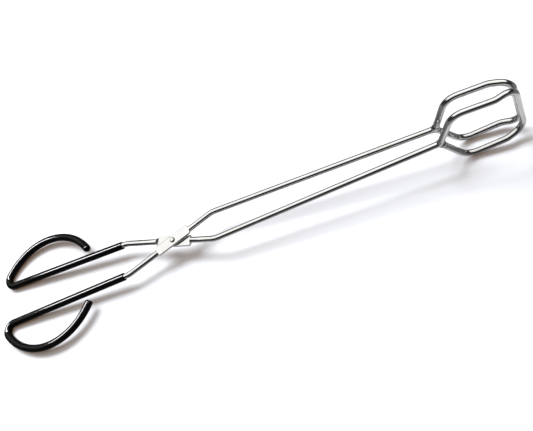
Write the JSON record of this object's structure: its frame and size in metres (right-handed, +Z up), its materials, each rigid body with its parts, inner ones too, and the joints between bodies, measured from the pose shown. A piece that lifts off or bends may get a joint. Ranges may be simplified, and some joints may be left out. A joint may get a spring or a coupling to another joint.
{
  "type": "jar lifter",
  "caption": "Scissor-action wire jar lifter: crossed bent-wire arms on a rivet, upright loop jaws in front, sleeved finger-loop handles behind; closing the handles closes the jaws.",
  "frame": {"origin": "middle of the base of the tool's box, on the floor it lies on", "axes": "+X along the tool towards the jaws, +Y towards the bottom arm's hand side, +Z up; the rivet's axis leans back from +Z by 3.77 degrees because the jaws prop the head up"},
  "size_m": [0.381, 0.0886, 0.0502],
  "materials": {
    "bright_wire": "bright plated steel wire",
    "rivet": "bright steel, slightly dulled where it was set",
    "black_vinyl": "glossy dipped vinyl"
  },
  "bodies": {
    "top_arm": {"top_arm_wire": "bright_wire", "top_arm_grip": "black_vinyl", "pivot_rivet": "rivet"},
    "bottom_arm": {"bottom_arm_wire": "bright_wire", "bottom_arm_grip": "black_vinyl"}
  },
  "joints": [
    {"name": "pivot", "type": "hinge", "parent": "top_arm", "child": "bottom_arm", "pos_m": [-0.04263, 0, 0.0123], "axis": [0.0658, 0, -0.9978], "range_deg": [0, 60]}
  ]
}
